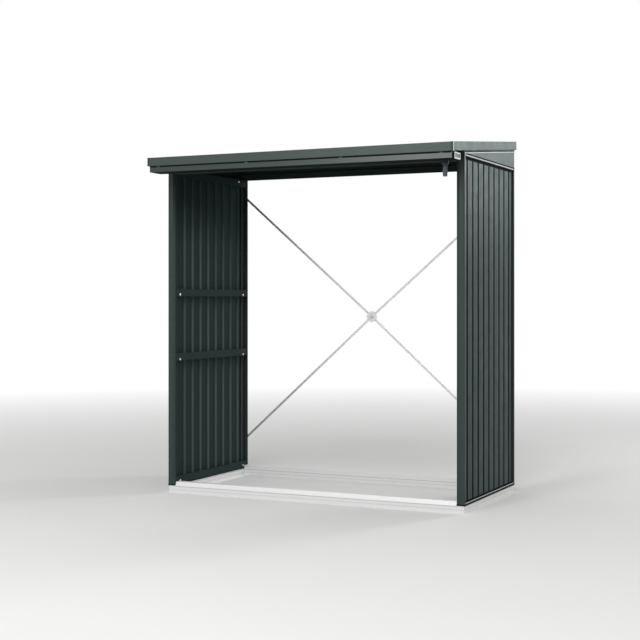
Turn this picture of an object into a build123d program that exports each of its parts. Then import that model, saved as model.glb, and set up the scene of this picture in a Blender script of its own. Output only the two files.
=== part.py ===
from build123d import *
import os
from math import atan2, cos, degrees, hypot, radians, tan

os.makedirs("parts", exist_ok=True)

# Log store of folded steel sheet on an aluminium base frame, open at the front and at the back.
# Millimetres. X runs along the front, Y from the front to the back, Z up from the ground.
# The origin is on the ground, below the middle of the roof.

# Overall sizes
wall_width = 1900.0
wall_depth = 860.0
wall_top = 1945.0
base_height = 42.0
seal_height = 8.0
roof_front_overhang = 200.0
roof_back_overhang = 10.0
roof_side_overhang = 10.0
roof_front_drop = 5.0
roof_slope = 6.5

# Gauges and bends of the sheet pieces
post_gauge = 1.5
rail_gauge = 1.5
sheet_gauge = 1.0
fascia_gauge = 1.5
base_gauge = 2.0
plate_gauge = 3.0
bend_radius = 3.0
fine_bend_radius = 2.0
joint_clearance = 0.3

# Corner posts
post_face_width = 47.0
post_flat_width = 33.0
post_face_drop = 3.0
post_hem_depth = 15.0
post_return = 16.0
post_flange_depth = 40.0

# Side wall panels, with wide pans outward and narrow grooves between them
panel_setback = 10.0
panel_depth = 14.0
pan_pitch = 90.0
front_pan_pitch = 41.0
rear_pan_pitch = 56.0
groove_mouth = 18.0
groove_floor = 10.0

# Rails of the side walls
top_lip_height = 12.0
bottom_lip_height = 7.0
rail_width = 19.0
bottom_rail_height = 42.0
top_rail_height = 46.0
mid_rail_height = 44.0
lower_mid_rail_center = 812.0
upper_mid_rail_center = 1200.0

# Gable panels above the side walls
gable_setback = 2.0
gable_depth = 22.0

# Roof deck, made of trays side by side
deck_lift = 12.0
deck_panel_count = 4
deck_seam_height = 25.0
deck_rib_height = 14.0
deck_rib_base = 44.0
deck_rib_top = 26.0
deck_ribs_per_panel = 2
deck_front_reach = 100.0

# Roof edge trim
fascia_height = 50.0
fascia_top_flange = 20.0
fascia_bottom_lip = 10.0

# Beams under the roof
beam_depth = 35.0
front_beam_drop = 35.0
rear_beam_band = 35.0
rear_beam_step = 7.0

# Gutter behind the front fascia, its end caps and its outlet
gutter_back = 75.0
gutter_drop = 35.0
gutter_front_lap = 18.0
gutter_back_height = 40.0
cap_thickness = 4.0
cap_width = 88.0
cap_height = 36.0
cap_rim = 8.0
cap_recess = 2.0
outlet_from_end = 62.0
outlet_from_wall = 130.0
outlet_hole_radius = 14.0
collar_radius = 20.0
collar_height = 25.0
spout_radius = 12.0
spout_bore_radius = 10.0
spout_length = 90.0

# Base frame
sill_width = 50.0
sill_inset = 5.0
sill_lip_height = 23.0
sill_lip_start = 4.0
sill_lip_lean = 10.0
foot_flange_width = 30.0
anchor_hole_radius = 5.5
anchor_hole_from_sill_end = 100.0

# Cross brace in the open back
strap_width = 14.0
strap_thickness = 2.0
hub_radius = 34.0
hub_height = 1050.0
hub_hole_radius = 5.0
strap_start = 18.0
anchor_below_wall_top = 105.0
anchor_above_base = 188.0
anchor_from_side = 17.0
anchor_plate_width = 30.0
anchor_plate_height = 46.0
anchor_bolt_radius = 4.0

# Places worked out from the sizes
half_width = wall_width / 2
roof_half = half_width + roof_side_overhang
roof_depth = roof_front_overhang + wall_depth + roof_back_overhang
roof_front_y = -roof_depth / 2
roof_back_y = roof_depth / 2
wall_front_y = roof_front_y + roof_front_overhang
wall_back_y = wall_front_y + wall_depth
wall_middle_y = (wall_front_y + wall_back_y) / 2
roof_rise = tan(radians(roof_slope))
roof_front_bottom = wall_top - roof_front_drop
slope_direction = (0, cos(radians(roof_slope)), cos(radians(roof_slope)) * roof_rise)
wall_bottom = base_height + seal_height
panel_inner = panel_setback + panel_depth
rail_outer = panel_inner + post_gauge
rail_inner = rail_outer + rail_width
rail_end = post_face_drop + post_gauge + joint_clearance
middle_plane = Plane.XZ.offset(-wall_middle_y)


def fascia_bottom(y):
    return roof_front_bottom + (y - roof_front_y) * roof_rise


def deck_underside(y):
    return fascia_bottom(y) + deck_lift


def save(piece, label):
    piece.part.label = label
    export_step(piece.part, f"parts/{label}.step")


def save_pair(piece, label):
    # a piece of the right side and its mirror image on the left
    save(piece, "right_" + label)
    with BuildPart() as twin:
        mirror(piece.part, about=Plane.YZ)
    save(twin, "left_" + label)


def folded_sheet(plane, points, radius, gauge, side):
    # section of a sheet folded along a line of points, which is its visible face
    with BuildSketch(plane) as section:
        with BuildLine():
            FilletPolyline(*points, radius=radius)
            offset(amount=gauge, side=side)
        make_face()
    return section.sketch


def hollow_section(plane, points, gauge):
    # section of a closed tube with its outline through the points
    with BuildSketch(plane) as section:
        with BuildLine():
            Polyline(*points, close=True)
        make_face()
        offset(amount=-gauge, kind=Kind.INTERSECTION, mode=Mode.SUBTRACT)
    return section.sketch


# Front and rear sills of the base frame, with a lip that leans back between the posts
sill_lip_half = half_width - post_face_width - joint_clearance
lip_top = base_height + sill_lip_height
sill_back_y = wall_front_y + sill_width
sill_points = [
    (wall_front_y, 0),
    (sill_back_y, 0),
    (sill_back_y, base_height),
    (wall_front_y, base_height),
]
lip_points = [
    (wall_front_y + sill_lip_start, base_height - base_gauge),
    (sill_back_y, base_height - base_gauge),
    (sill_back_y, lip_top),
    (wall_front_y + sill_lip_start + sill_lip_lean, lip_top),
]
sill_section = hollow_section(Plane.YZ, sill_points, base_gauge)
lip_section = hollow_section(Plane.YZ, lip_points, base_gauge)
with BuildPart() as front_sill:
    extrude(sill_section, amount=half_width - sill_inset, both=True)
    extrude(lip_section, amount=sill_lip_half, both=True)
save(front_sill, "base_front_sill")

with BuildPart() as rear_sill:
    mirror(front_sill.part, about=middle_plane)
save(rear_sill, "base_rear_sill")

# Side sills between them, with a foot flange and its anchor holes
side_sill_outer = half_width - sill_inset
side_sill_inner = side_sill_outer - sill_width + sill_inset
flange_inner = side_sill_inner - foot_flange_width
flange_middle = (side_sill_inner + flange_inner) / 2
side_sill_length = wall_depth - 2 * sill_width
side_sill_points = [
    (side_sill_inner, 0),
    (side_sill_outer, 0),
    (side_sill_outer, base_height),
    (side_sill_inner, base_height),
]
side_sill_section = hollow_section(Plane.XZ.offset(-sill_back_y), side_sill_points, base_gauge)
with BuildPart() as side_sill:
    extrude(side_sill_section, amount=-side_sill_length)
    with BuildSketch(Plane.XY):
        with Locations((flange_middle, wall_middle_y)):
            Rectangle(foot_flange_width, side_sill_length)
        with Locations((flange_middle, wall_middle_y)):
            with GridLocations(1, side_sill_length - 2 * anchor_hole_from_sill_end, 1, 2):
                Circle(anchor_hole_radius, mode=Mode.SUBTRACT)
    extrude(amount=plate_gauge)
save_pair(side_sill, "base_sill")

# Seals on the base frame, under each side wall and its two posts
seal_points = [
    (half_width, wall_front_y),
    (half_width, wall_back_y),
    (half_width - post_face_width, wall_back_y),
    (half_width - post_face_width, wall_back_y - post_flange_depth),
    (half_width - panel_inner, wall_back_y - post_flange_depth),
    (half_width - panel_inner, wall_front_y + post_flange_depth),
    (half_width - post_face_width, wall_front_y + post_flange_depth),
    (half_width - post_face_width, wall_front_y),
]
with BuildPart() as seal:
    with BuildSketch(Plane.XY.offset(base_height)):
        with BuildLine():
            Polyline(*seal_points, close=True)
        make_face()
    extrude(amount=seal_height)
save_pair(seal, "base_seal")

# Corner posts: face, hem, outer return and the flange that the panel is fixed to
post_points = [
    (half_width - post_face_width, wall_front_y + post_hem_depth),
    (half_width - post_face_width, wall_front_y + post_face_drop),
    (half_width - post_flat_width, wall_front_y),
    (half_width, wall_front_y),
    (half_width, wall_front_y + post_return),
    (half_width - panel_inner, wall_front_y + post_return),
    (half_width - panel_inner, wall_front_y + post_flange_depth),
]
post_section = folded_sheet(
    Plane.XY.offset(wall_bottom), post_points, bend_radius, post_gauge, Side.LEFT
)
with BuildPart() as front_post:
    extrude(post_section, amount=wall_top - wall_bottom)
save_pair(front_post, "front_post")

with BuildPart() as rear_post:
    mirror(front_post.part, about=middle_plane)
save_pair(rear_post, "rear_post")

# Side wall panels, folded in pans and grooves from one post's return to the other's
panel_start_y = wall_front_y + post_return + bend_radius + joint_clearance
panel_end_y = wall_back_y - post_return - bend_radius - joint_clearance
groove_span = wall_depth - 2 * post_return - groove_mouth - front_pan_pitch - rear_pan_pitch
pan_count = round(groove_span / pan_pitch)
full_pitch = groove_span / pan_count
groove_y = wall_front_y + post_return + groove_mouth / 2
pan_x = half_width - panel_setback
groove_x = half_width - panel_inner + sheet_gauge
panel_points = [(groove_x, panel_start_y)]
for pitch in [front_pan_pitch] + [full_pitch] * pan_count + [rear_pan_pitch]:
    next_groove_y = groove_y + pitch
    panel_points.append((groove_x, groove_y + groove_floor / 2))
    panel_points.append((pan_x, groove_y + groove_mouth / 2))
    panel_points.append((pan_x, next_groove_y - groove_mouth / 2))
    panel_points.append((groove_x, next_groove_y - groove_floor / 2))
    groove_y = next_groove_y
panel_points.append((groove_x, panel_end_y))
panel_bottom = wall_bottom + rail_gauge
panel_section = folded_sheet(
    Plane.XY.offset(panel_bottom), panel_points, fine_bend_radius, sheet_gauge, Side.LEFT
)
with BuildPart() as wall_panel:
    extrude(panel_section, amount=wall_top - rail_gauge - panel_bottom)
save_pair(wall_panel, "wall_panel")


# Edge rails: a tube inside the wall, and a web and lip that hold the panel's edge
def edge_rail(web_z, tube_height, lip_height, up):
    web_points = [
        (half_width, panel_start_y),
        (half_width - panel_inner + joint_clearance, panel_start_y),
        (half_width - panel_inner + joint_clearance, wall_front_y + post_flange_depth + joint_clearance),
        (half_width - rail_outer, wall_front_y + post_flange_depth + joint_clearance),
        (half_width - rail_outer, wall_back_y - post_flange_depth - joint_clearance),
        (half_width - panel_inner + joint_clearance, wall_back_y - post_flange_depth - joint_clearance),
        (half_width - panel_inner + joint_clearance, panel_end_y),
        (half_width, panel_end_y),
    ]
    tube_points = [
        (half_width - rail_inner, web_z),
        (half_width - rail_outer, web_z),
        (half_width - rail_outer, web_z + up * tube_height),
        (half_width - rail_inner, web_z + up * tube_height),
    ]
    rail_start_y = wall_front_y + rail_end
    tube_section = hollow_section(Plane.XZ.offset(-rail_start_y), tube_points, rail_gauge)
    with BuildPart() as rail:
        with BuildSketch(Plane.XY.offset(web_z)):
            with BuildLine():
                Polyline(*web_points, close=True)
            make_face()
        extrude(amount=up * rail_gauge)
        with BuildSketch(Plane.XY.offset(web_z)):
            with Locations((half_width - rail_gauge / 2, wall_middle_y)):
                Rectangle(rail_gauge, panel_end_y - panel_start_y)
        extrude(amount=up * lip_height)
        extrude(tube_section, amount=-(wall_depth - 2 * rail_end))
    return rail


save_pair(edge_rail(wall_bottom, bottom_rail_height, bottom_lip_height, 1), "bottom_rail")
save_pair(edge_rail(wall_top, top_rail_height, top_lip_height, -1), "top_rail")


# Mid rails: plain tubes along the inside of the wall, from post to post
def mid_rail(center_z):
    low = center_z - mid_rail_height / 2
    high = center_z + mid_rail_height / 2
    tube_points = [
        (half_width - rail_inner, low),
        (half_width - rail_outer, low),
        (half_width - rail_outer, high),
        (half_width - rail_inner, high),
    ]
    rail_start_y = wall_front_y + rail_end
    tube_section = hollow_section(Plane.XZ.offset(-rail_start_y), tube_points, rail_gauge)
    with BuildPart() as rail:
        extrude(tube_section, amount=-(wall_depth - 2 * rail_end))
    return rail


save_pair(mid_rail(lower_mid_rail_center), "lower_mid_rail")
save_pair(mid_rail(upper_mid_rail_center), "upper_mid_rail")

# Gable panels: shallow trays that fill the wedge between the side wall and the roof
gable_outer = half_width - gable_setback
gable_points = [
    (wall_front_y, wall_top),
    (wall_back_y, wall_top),
    (wall_back_y, deck_underside(wall_back_y)),
    (wall_front_y, deck_underside(wall_front_y)),
]
with BuildPart() as gable:
    with BuildSketch(Plane.YZ.offset(gable_outer)):
        with BuildLine():
            Polyline(*gable_points, close=True)
        make_face()
    extrude(amount=-gable_depth)
    offset(amount=-sheet_gauge, openings=gable.faces().sort_by(Axis.X)[0])
save_pair(gable, "gable_panel")

# Front beam, between the front posts
front_beam_front = wall_front_y + rail_end
front_beam_back = front_beam_front + beam_depth
front_beam_bottom = wall_top - front_beam_drop
front_beam_points = [
    (front_beam_front, front_beam_bottom),
    (front_beam_back, front_beam_bottom),
    (front_beam_back, deck_underside(front_beam_back)),
    (front_beam_front, deck_underside(front_beam_front)),
]
front_beam_section = hollow_section(Plane.YZ, front_beam_points, rail_gauge)
with BuildPart() as front_beam:
    extrude(front_beam_section, amount=half_width - post_face_width, both=True)
save(front_beam, "front_beam")

# Rear beam, on top of the rear posts and between the gable panels
rear_beam_back = wall_back_y - rail_end
rear_beam_front = rear_beam_back - beam_depth
rear_beam_upper = rear_beam_front + rear_beam_step
rear_beam_points = [
    (rear_beam_front, wall_top),
    (rear_beam_back, wall_top),
    (rear_beam_back, deck_underside(rear_beam_back)),
    (rear_beam_upper, deck_underside(rear_beam_upper)),
    (rear_beam_upper, wall_top + rear_beam_band + rear_beam_step),
    (rear_beam_front, wall_top + rear_beam_band),
]
rear_beam_section = hollow_section(Plane.YZ, rear_beam_points, rail_gauge)
with BuildPart() as rear_beam:
    extrude(rear_beam_section, amount=gable_outer - gable_depth, both=True)
save(rear_beam, "rear_beam")

# Roof deck: trays with upturned sides and low ribs, laid along the slope
deck_half = roof_half - fascia_gauge
deck_width = 2 * deck_half / deck_panel_count
deck_front_y = wall_front_y - deck_front_reach
deck_back_y = roof_back_y - fascia_gauge
deck_length = (deck_back_y - deck_front_y) / cos(radians(roof_slope))
for index in range(deck_panel_count):
    left = -deck_half + index * deck_width
    right = left + deck_width
    low = deck_underside(deck_front_y)
    deck_points = [(left, low + deck_seam_height), (left, low)]
    for rib in range(deck_ribs_per_panel):
        rib_x = left + (rib + 1) * deck_width / (deck_ribs_per_panel + 1)
        deck_points.append((rib_x - deck_rib_base / 2, low))
        deck_points.append((rib_x - deck_rib_top / 2, low + deck_rib_height))
        deck_points.append((rib_x + deck_rib_top / 2, low + deck_rib_height))
        deck_points.append((rib_x + deck_rib_base / 2, low))
    deck_points.append((right, low))
    deck_points.append((right, low + deck_seam_height))
    deck_section = folded_sheet(
        Plane.XZ.offset(-deck_front_y), deck_points, fine_bend_radius, sheet_gauge, Side.LEFT
    )
    with BuildPart() as deck_panel:
        extrude(deck_section, amount=deck_length, dir=slope_direction)
    save(deck_panel, f"roof_panel_{index + 1}")

# Roof edge trim, mitred at the corners
front_miter = Plane(origin=(roof_half, roof_front_y, 0), z_dir=(1, 1, 0))
back_miter = Plane(origin=(roof_half, roof_back_y, 0), z_dir=(1, -1, 0))
roof_front_top = roof_front_bottom + fascia_height
side_trim_points = [
    (roof_half - fascia_top_flange, roof_front_top),
    (roof_half, roof_front_top),
    (roof_half, roof_front_bottom),
    (roof_half - fascia_bottom_lip, roof_front_bottom),
]
side_trim_section = folded_sheet(
    Plane.XZ.offset(-roof_front_y), side_trim_points, bend_radius, fascia_gauge, Side.RIGHT
)
with BuildPart() as side_fascia:
    extrude(side_trim_section, amount=roof_depth / cos(radians(roof_slope)), dir=slope_direction)
    split(bisect_by=front_miter, keep=Keep.TOP)
    split(bisect_by=back_miter, keep=Keep.TOP)
save_pair(side_fascia, "fascia")


# Front and rear trim run across between the mitres
def cross_fascia(edge_y, inward, miter, side):
    bottom_z = fascia_bottom(edge_y)
    flange_y = edge_y + inward * fascia_top_flange
    trim_points = [
        (flange_y, fascia_bottom(flange_y) + fascia_height),
        (edge_y, bottom_z + fascia_height),
        (edge_y, bottom_z),
        (edge_y + inward * fascia_bottom_lip, bottom_z),
    ]
    section = folded_sheet(Plane.YZ, trim_points, bend_radius, fascia_gauge, side)
    with BuildPart() as half_trim:
        extrude(section, amount=roof_half)
        split(bisect_by=miter, keep=Keep.BOTTOM)
    with BuildPart() as trim:
        add(half_trim.part)
        mirror(half_trim.part, about=Plane.YZ)
    return trim


save(cross_fascia(roof_front_y, 1, front_miter, Side.LEFT), "front_fascia")
save(cross_fascia(roof_back_y, -1, back_miter, Side.RIGHT), "rear_fascia")

# Gutter trough behind the front trim, with closed ends and a hole for the outlet
gutter_front_y = roof_front_y + fascia_bottom_lip
gutter_back_y = wall_front_y - gutter_back
gutter_bottom = roof_front_bottom - gutter_drop
outlet_x = half_width - outlet_from_end
outlet_y = wall_front_y - outlet_from_wall
gutter_points = [
    (gutter_front_y, gutter_bottom),
    (gutter_back_y, gutter_bottom),
    (gutter_back_y, gutter_bottom + gutter_back_height),
    (gutter_front_y, roof_front_bottom + gutter_front_lap),
]
with BuildPart() as gutter:
    with BuildSketch(Plane.YZ):
        with BuildLine():
            Polyline(*gutter_points, close=True)
        make_face()
    extrude(amount=half_width, both=True)
    offset(amount=-sheet_gauge, openings=gutter.faces().sort_by(Axis.Z)[-1])
    with Locations(Plane.XY.offset(gutter_bottom)):
        with Locations((outlet_x, outlet_y)):
            Hole(outlet_hole_radius, depth=sheet_gauge * 2)
save(gutter, "gutter")

# End caps of the gutter, with a raised rim
cap_middle_y = gutter_back_y - cap_width / 2
cap_middle_z = gutter_bottom + cap_height / 2
cap_plane = Plane(origin=(half_width, cap_middle_y, cap_middle_z), x_dir=(0, 1, 0), z_dir=(1, 0, 0))
with BuildPart() as end_cap:
    with BuildSketch(cap_plane):
        RectangleRounded(cap_width, cap_height, bend_radius)
    extrude(amount=cap_thickness)
    with BuildSketch(cap_plane.offset(cap_thickness - cap_recess)):
        RectangleRounded(cap_width - 2 * cap_rim, cap_height - 2 * cap_rim, fine_bend_radius)
    extrude(amount=cap_recess, mode=Mode.SUBTRACT)
save_pair(end_cap, "gutter_end_cap")

# Outlet under the gutter: a collar against the trough and a spout below it
with BuildPart() as outlet:
    with BuildSketch(Plane.XY.offset(gutter_bottom)):
        with Locations((outlet_x, outlet_y)):
            Circle(collar_radius)
    extrude(amount=-collar_height)
    with BuildSketch(Plane.XY.offset(gutter_bottom)):
        with Locations((outlet_x, outlet_y)):
            Circle(spout_radius)
    extrude(amount=-spout_length)
    with BuildSketch(Plane.XY.offset(gutter_bottom)):
        with Locations((outlet_x, outlet_y)):
            Circle(spout_bore_radius)
    extrude(amount=-spout_length, mode=Mode.SUBTRACT)
save(outlet, "gutter_outlet")

# Hub plate of the cross brace, in the middle of the open back
hub_plane = Plane.XZ.offset(-wall_back_y)
with BuildPart() as hub:
    with BuildSketch(hub_plane):
        with Locations((0, hub_height)):
            Circle(hub_radius)
            Circle(hub_hole_radius, mode=Mode.SUBTRACT)
    extrude(amount=-plate_gauge)
save(hub, "brace_hub")

# Anchor plates on the rear posts, and a strap from the hub to each of them
strap_plane = Plane.XZ.offset(-wall_back_y - plate_gauge)
anchor_x = half_width - anchor_from_side
anchor_heights = {"upper": wall_top - anchor_below_wall_top, "lower": base_height + anchor_above_base}
for level, anchor_z in anchor_heights.items():
    rise = anchor_z - hub_height
    reach = hypot(anchor_x, rise)
    turn = degrees(atan2(rise, anchor_x))
    strap_length = reach - strap_start
    strap_middle = (reach + strap_start) / 2
    with BuildPart() as anchor:
        with BuildSketch(hub_plane):
            with Locations((anchor_x, anchor_z)):
                RectangleRounded(anchor_plate_width, anchor_plate_height, bend_radius)
                Circle(anchor_bolt_radius, mode=Mode.SUBTRACT)
        extrude(amount=-plate_gauge)
    save_pair(anchor, f"{level}_brace_anchor")
    with BuildPart() as strap:
        with BuildSketch(strap_plane):
            with Locations((anchor_x * strap_middle / reach, hub_height + rise * strap_middle / reach)):
                SlotOverall(strap_length + strap_width, strap_width, rotation=turn)
            with Locations((anchor_x, anchor_z)):
                Circle(anchor_bolt_radius, mode=Mode.SUBTRACT)
        extrude(amount=-strap_thickness)
    save_pair(strap, f"{level}_brace_strap")
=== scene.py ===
import bpy
from math import radians
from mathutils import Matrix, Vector
import numpy as np


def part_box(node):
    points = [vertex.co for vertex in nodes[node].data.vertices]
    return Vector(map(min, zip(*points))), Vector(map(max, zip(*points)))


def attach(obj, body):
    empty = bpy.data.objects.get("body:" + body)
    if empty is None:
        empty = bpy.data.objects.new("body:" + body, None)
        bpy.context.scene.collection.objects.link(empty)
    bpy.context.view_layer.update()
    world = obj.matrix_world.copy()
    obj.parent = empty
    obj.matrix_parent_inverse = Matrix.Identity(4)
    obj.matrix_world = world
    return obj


# Log store of folded steel sheet. The sheets come in as they are and get their finishes here;
# screws, bolts, seam caps, plugs and small trim are added. Metres, X along the open front, Y to the back.
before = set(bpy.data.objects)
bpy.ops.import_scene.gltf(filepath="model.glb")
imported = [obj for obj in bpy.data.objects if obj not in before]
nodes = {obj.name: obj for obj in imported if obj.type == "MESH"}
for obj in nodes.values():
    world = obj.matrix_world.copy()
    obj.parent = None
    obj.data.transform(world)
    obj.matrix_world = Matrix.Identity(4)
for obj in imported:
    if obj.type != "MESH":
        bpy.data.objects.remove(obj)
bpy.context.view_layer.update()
scene = bpy.context.scene
print("frame loaded:", len(nodes), "nodes")

axisX, axisY, axisZ = np.eye(3)

# What the finishes and the trim are placed by, all on the right side.
panelLow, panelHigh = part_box("right_wall_panel")
gableLow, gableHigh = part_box("right_gable_panel")
outletLow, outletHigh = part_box("gutter_outlet")
panOut = panelHigh.x
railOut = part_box("right_top_rail")[1].x
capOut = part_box("right_gutter_end_cap")[1].x
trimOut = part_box("right_fascia")[1].x

creaseAngle = radians(35)  # edges sharper than this stay sharp
sunk = 0.0003  # how far a screw, bolt or rivet starts inside what carries it


# Shapes: every new piece is a stack of rings. rings is (copies, stations, points round, 3). A point joins
# the next one round and the same one at the next station. A flat face closes each end, or with
# looped=True the last station joins the first. Faces point outwards when the rings run anticlockwise
# about the way the stations advance.
def ringMesh(name, rings, material, looped=False):
    copies, stations, around = rings.shape[:3]
    index = np.arange(copies * stations * around).reshape(copies, stations, around)
    here = index if looped else index[:, :-1]
    there = np.roll(index, -1, axis=1) if looped else index[:, 1:]
    quads = np.stack((here, np.roll(here, -1, axis=2), np.roll(there, -1, axis=2), there), axis=-1)
    faces = quads.reshape(-1, 4).tolist()
    if not looped:
        faces += index[:, 0, ::-1].tolist() + index[:, -1].tolist()
    mesh = bpy.data.meshes.new(name)
    mesh.from_pydata(rings.reshape(-1, 3).tolist(), [], faces)
    mesh.shade_smooth()
    mesh.set_sharp_from_angle(angle=creaseAngle)
    mesh.materials.append(material)
    piece = bpy.data.objects.new(name, mesh)
    scene.collection.objects.link(piece)
    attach(piece, "root")


# Local point (x, y, z) goes to spot + x * side + y * up + z * (side cross up), for every spot at once.
def placeCopies(localRings, spots, side, up):
    turn = np.stack((side, up, np.cross(side, up)))
    return np.asarray(spots)[:, None, None, :] + (localRings @ turn)[None]


# A turned head from rows of radius, height and hex share: at each row the radius goes round a circle,
# or round a hexagon where the share is 1, as radius / cos(angle from the middle of the flat).
def turnedRings(profile, sides=24):
    angle = np.arange(sides) * 2 * np.pi / sides
    fromFlat = (angle + np.pi / 6) % (np.pi / 3) - np.pi / 6
    radius, height, hexShare = np.array(profile).T[:, :, None]
    reach = radius * (1 + hexShare * (1 / np.cos(fromFlat) - 1))
    return np.stack((reach * np.cos(angle), reach * np.sin(angle), height + 0 * reach), axis=-1)


# A closed outline of (a, b) points carried from start to end: at share t of the way each point stands
# at start + t * (end - start) + a * side + b * up.
def carryOutline(outline, start, end, side, up, stations=2):
    way = np.linspace(0, 1, stations)[:, None, None]
    spine = np.asarray(start) + way * (np.asarray(end) - np.asarray(start))
    return spine + outline[None, :, :1] * side + outline[None, :, 1:] * up


# Points of an arc of the given radius about (a, b), count of them from one angle to another in degrees.
def arcPoints(a, b, radius, fromAngle, toAngle, count=6):
    turn = np.radians(np.linspace(fromAngle, toAngle, count))
    return np.stack((a + radius * np.cos(turn), b + radius * np.sin(turn)), axis=-1)


# The outline of a strip that stands out of a wall: flat at the back, rolled at its two outer corners.
def stripOutline(inside, outside, bottom, top, roll):
    lower = arcPoints(outside - roll, bottom + roll, roll, -90, 0, 4)
    upper = arcPoints(outside - roll, top - roll, roll, 0, 90, 4)
    return np.concatenate((((inside, bottom),), lower, upper, ((inside, top),)))


# Finishes. newMaterial gives the shader its plain values, and the helpers below add a node or two each.
def newMaterial(name, colour, roughness, metallic=0.0, specular=0.5):
    material = bpy.data.materials.new(name)
    material.use_nodes = True
    shader = material.node_tree.nodes["Principled BSDF"]
    shader.inputs["Base Color"].default_value = (*colour, 1)
    shader.inputs["Roughness"].default_value = roughness
    shader.inputs["Metallic"].default_value = metallic
    shader.inputs["Specular IOR Level"].default_value = specular
    return material, material.node_tree, shader


# Object coordinates times a stretch per axis: a small number draws the pattern out along that axis.
def stretchedCoords(tree, stretch=(1, 1, 1)):
    coords = tree.nodes.new("ShaderNodeTexCoord")
    mapping = tree.nodes.new("ShaderNodeMapping")
    mapping.inputs["Scale"].default_value = stretch
    tree.links.new(coords.outputs["Object"], mapping.inputs["Vector"])
    return mapping.outputs["Vector"]


# The object's own place and facing, as separate x, y and z.
def placeAndFacing(tree):
    coords = tree.nodes.new("ShaderNodeTexCoord")
    parts = []
    for output in ("Object", "Normal"):
        split = tree.nodes.new("ShaderNodeSeparateXYZ")
        tree.links.new(coords.outputs[output], split.inputs["Vector"])
        parts.append(split.outputs)
    return parts


def noise(tree, vector, scale, detail, roughness=0.5):
    texture = tree.nodes.new("ShaderNodeTexNoise")
    texture.inputs["Scale"].default_value = scale
    texture.inputs["Detail"].default_value = detail
    texture.inputs["Roughness"].default_value = roughness
    tree.links.new(vector, texture.inputs["Vector"])
    return texture.outputs["Fac"]


def remap(tree, value, fromLow, fromHigh, toLow=0, toHigh=1):
    mapRange = tree.nodes.new("ShaderNodeMapRange")
    mapRange.inputs["From Min"].default_value = fromLow
    mapRange.inputs["From Max"].default_value = fromHigh
    mapRange.inputs["To Min"].default_value = toLow
    mapRange.inputs["To Max"].default_value = toHigh
    tree.links.new(value, mapRange.inputs["Value"])
    return mapRange.outputs["Result"]


def calculate(tree, operation, first, second=0.0):
    math = tree.nodes.new("ShaderNodeMath")
    math.operation = operation
    for socket, value in zip(math.inputs, (first, second)):
        if isinstance(value, (int, float)):
            socket.default_value = value
        else:
            tree.links.new(value, socket)
    return math.outputs["Value"]


def mixColours(tree, share, first, second):
    mix = tree.nodes.new("ShaderNodeMix")
    mix.data_type = "RGBA"
    tree.links.new(share, mix.inputs["Factor"])
    for socket, colour in ((mix.inputs["A"], first), (mix.inputs["B"], second)):
        if isinstance(colour, tuple):
            socket.default_value = (*colour, 1)
        else:
            tree.links.new(colour, socket)
    return mix.outputs["Result"]


def addBump(tree, height, strength, distance, below):
    bump = tree.nodes.new("ShaderNodeBump")
    bump.inputs["Strength"].default_value = strength
    bump.inputs["Distance"].default_value = distance
    tree.links.new(height, bump.inputs["Height"])
    tree.links.new(below, bump.inputs["Normal"])
    return bump.outputs["Normal"]


def softEdges(tree, radius):
    bevel = tree.nodes.new("ShaderNodeBevel")
    bevel.samples = 4
    bevel.inputs["Radius"].default_value = radius
    return bevel.outputs["Normal"]


# Powder coat on rolled sheet: a slow tone, streaks drawn out along the sheet, a fine pale grain,
# an uneven sheen, and the slight wave that thin sheet has after folding. tint colours the gloss, and
# lacquer is the weight and roughness of a clear coat.
mattPaint = {
    "tone": (0.021, 0.033, 0.032),
    "paleTone": (0.030, 0.044, 0.043),
    "grainTone": (0.062, 0.082, 0.080),
    "roughness": (0.38, 0.48),
    "specular": 0.14,
    "tint": (0.42, 1.0, 0.97),
    "wave": 0.0012,
}
postPaintLook = {
    "tone": (0.026, 0.036, 0.034),
    "paleTone": (0.034, 0.045, 0.043),
    "grainTone": (0.068, 0.082, 0.079),
    "roughness": (0.38, 0.48),
    "specular": 0.24,
    "tint": (0.85, 1.0, 0.95),
    "wave": 0.0012,
}
edgePaint = {
    "tone": (0.027, 0.039, 0.038),
    "paleTone": (0.035, 0.049, 0.048),
    "grainTone": (0.072, 0.092, 0.090),
    "roughness": (0.40, 0.48),
    "specular": 0.23,
    "tint": (0.46, 1.0, 0.97),
    "wave": 0.0004,
}
satinPaint = {
    "tone": (0.029, 0.039, 0.037),
    "paleTone": (0.039, 0.050, 0.048),
    "grainTone": (0.080, 0.096, 0.093),
    "roughness": (0.28, 0.38),
    "specular": 0.50,
    "tint": (0.86, 0.98, 0.92),
    "wave": 0.0009,
}
gutterPaintLook = {
    "tone": (0.009, 0.021, 0.018),
    "paleTone": (0.014, 0.029, 0.025),
    "grainTone": (0.054, 0.072, 0.068),
    "roughness": (0.40, 0.50),
    "specular": 0.06,
    "lacquer": (0.95, 0.28),
    "tint": (0.93, 1.0, 0.98),
    "wave": 0.0006,
}
roofPaintLook = {
    "tone": (0.028, 0.036, 0.035),
    "paleTone": (0.037, 0.046, 0.045),
    "grainTone": (0.078, 0.092, 0.090),
    "roughness": (0.36, 0.46),
    "specular": 0.35,
    "tint": (0.93, 1.0, 0.98),
    "wave": 0.0012,
}
# The front beam's paler tone is painted light on a beam that sits in shade.
frontBeamLightLook = {
    "tone": (0.030, 0.046, 0.045),
    "paleTone": (0.036, 0.053, 0.052),
    "grainTone": (0.060, 0.078, 0.076),
    "roughness": (0.50, 0.62),
    "specular": 0.20,
    "tint": (0.93, 1.0, 0.98),
    "wave": 0.0009,
}
# The rear beam's darker tone is painted shade under the roof.
rearBeamShadeLook = {
    "tone": (0.016, 0.028, 0.024),
    "paleTone": (0.020, 0.033, 0.029),
    "grainTone": (0.034, 0.048, 0.044),
    "roughness": (0.60, 0.72),
    "specular": 0.06,
    "tint": (0.93, 1.0, 0.98),
    "wave": 0.0009,
}

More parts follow.
